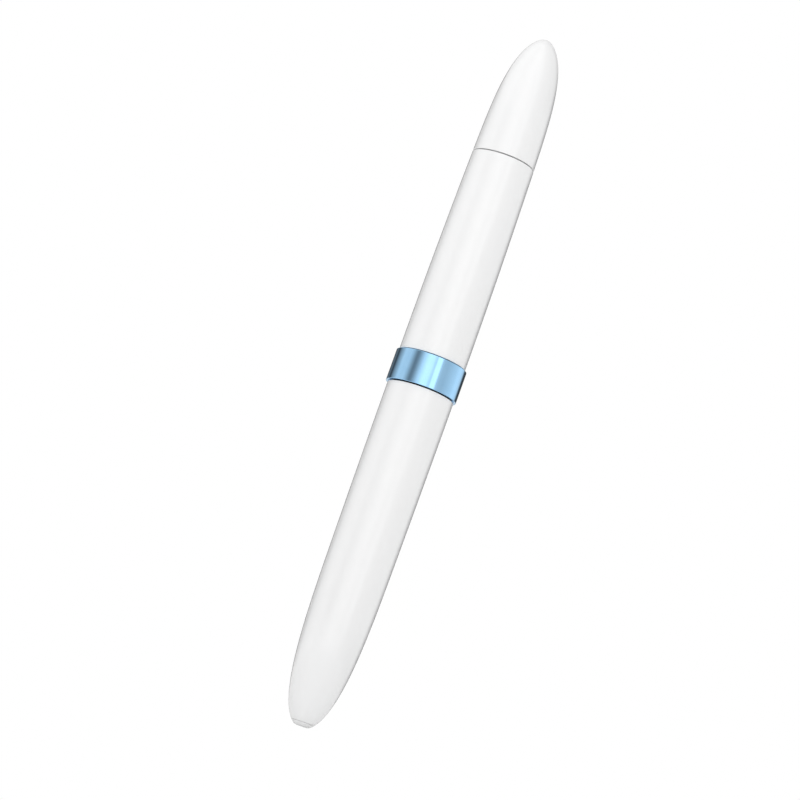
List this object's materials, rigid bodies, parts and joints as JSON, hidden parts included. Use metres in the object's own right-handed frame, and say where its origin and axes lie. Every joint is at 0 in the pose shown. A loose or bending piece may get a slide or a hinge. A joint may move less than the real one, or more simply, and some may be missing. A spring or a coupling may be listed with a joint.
{
  "type": "3d pen",
  "caption": "Slim cordless 3D drawing pen: glossy white tapered barrel with a blue metal waist ring, pull-off cap over a heated nozzle, thumb keys and a charging port.",
  "frame": {"origin": "centre of the flat tail face", "axes": "+Z along the pen from the tail to the cap, +Y through the keys and the charging port, +X across the pen"},
  "size_m": [0.0186, 0.0186, 0.1865],
  "materials": {
    "gloss_white_shell": "injection-moulded ABS, high gloss white",
    "blue_ring": "bright blue anodised, mirror polish",
    "black_moulding": "glass-filled nylon, fine texture",
    "heatproof_nose": "heat-resistant PEEK, satin light grey",
    "ptfe": "waxy white PTFE",
    "silicone": "soft matte silicone",
    "foam": "closed-cell foam",
    "cell_wrap": "heat-shrunk sleeve",
    "steel": "turned and polished",
    "brass": "turned",
    "circuit_board": "green solder mask",
    "black_epoxy": "moulded component body",
    "ceramic": "fired alumina",
    "glass_sleeve": "woven glass-fibre sleeve",
    "light_guide": "clear polycarbonate",
    "red_insulation": "silicone wire insulation",
    "black_insulation": "silicone wire insulation"
  },
  "bodies": {
    "housing": {"board_screw_1": "steel", "board_screw_2": "steel", "board_screw_3": "steel", "break_collar": "heatproof_nose", "cap_seal": "silicone", "cell_cushion": "foam", "cell_lead_black": "black_insulation", "cell_lead_red": "red_insulation", "charge_board": "circuit_board", "charge_port": "steel", "coupling_sleeve": "black_moulding", "drive_cradle": "black_moulding", "driver_chip": "black_epoxy", "feed_switch": "black_epoxy", "front_barrel": "gloss_white_shell", "front_guide": "ptfe", "gearbox_can": "brass", "guide_tube": "ptfe", "heat_break": "steel", "heater_core": "ceramic", "heater_lead_left": "glass_sleeve", "heater_lead_right": "glass_sleeve", "idler_pivot": "steel", "inlet_bush": "brass", "insulation_sleeve": "glass_sleeve", "light_guide": "light_guide", "lithium_cell": "cell_wrap", "main_board": "circuit_board", "motor_can": "steel", "nose_cone": "heatproof_nose", "nozzle": "brass", "port_carrier": "black_moulding", "pressure_leaf": "steel", "rear_barrel": "gloss_white_shell", "reverse_switch": "black_epoxy", "screw_bush": "brass", "speed_sensor": "black_epoxy", "status_lamp": "light_guide", "thermistor": "ceramic", "trim_ring": "blue_ring"},
    "cap": {"cap_shell": "gloss_white_shell"},
    "plug": {"tail_plug": "gloss_white_shell"},
    "feed_key": {"feed_button": "gloss_white_shell"},
    "reverse_key": {"reverse_button": "gloss_white_shell"},
    "speed_key": {"speed_knob": "gloss_white_shell"},
    "screw": {"feed_screw": "steel"},
    "lever": {"idler_lever": "black_moulding", "roller_axle": "steel"},
    "roller": {"idler_roller": "steel"}
  },
  "joints": [
    {"name": "cap_pull", "type": "slide", "parent": "housing", "child": "cap", "axis": [0, 0, 1], "range_m": [0, 0.034]},
    {"name": "plug_pull", "type": "slide", "parent": "housing", "child": "plug", "axis": [0, 0, -1], "range_m": [0, 0.008]},
    {"name": "feed_press", "type": "slide", "parent": "housing", "child": "feed_key", "axis": [0, -1, 0], "range_m": [0, 0.00025], "stiffness_N_per_m": 3000, "springref_m": -0.0002},
    {"name": "reverse_press", "type": "slide", "parent": "housing", "child": "reverse_key", "axis": [0, -1, 0], "range_m": [0, 0.00025], "stiffness_N_per_m": 3000, "springref_m": -0.0002},
    {"name": "speed_slide", "type": "slide", "parent": "housing", "child": "speed_key", "axis": [0, 0, 1], "range_m": [-0.0018, 0.0018]},
    {"name": "screw_turn", "type": "hinge", "parent": "housing", "child": "screw", "pos_m": [0, 0.001, 0.1276], "axis": [0, 0, 1], "continuous": true},
    {"name": "lever_open", "type": "hinge", "parent": "housing", "child": "lever", "pos_m": [0, -0.00475, 0.1382], "axis": [-1, 0, 0], "range_deg": [0, 3.5], "stiffness_Nm_per_rad": 0.2, "springref_deg": -8.59, "deforming": ["pressure_leaf"]},
    {"name": "roller_turn", "type": "hinge", "parent": "lever", "child": "roller", "pos_m": [0, -0.00475, 0.1311], "axis": [1, 0, 0], "continuous": true}
  ],
  "couplings": [
    {"joint": "roller_turn", "follows": "screw_turn", "ratio": -0.13926}
  ]
}
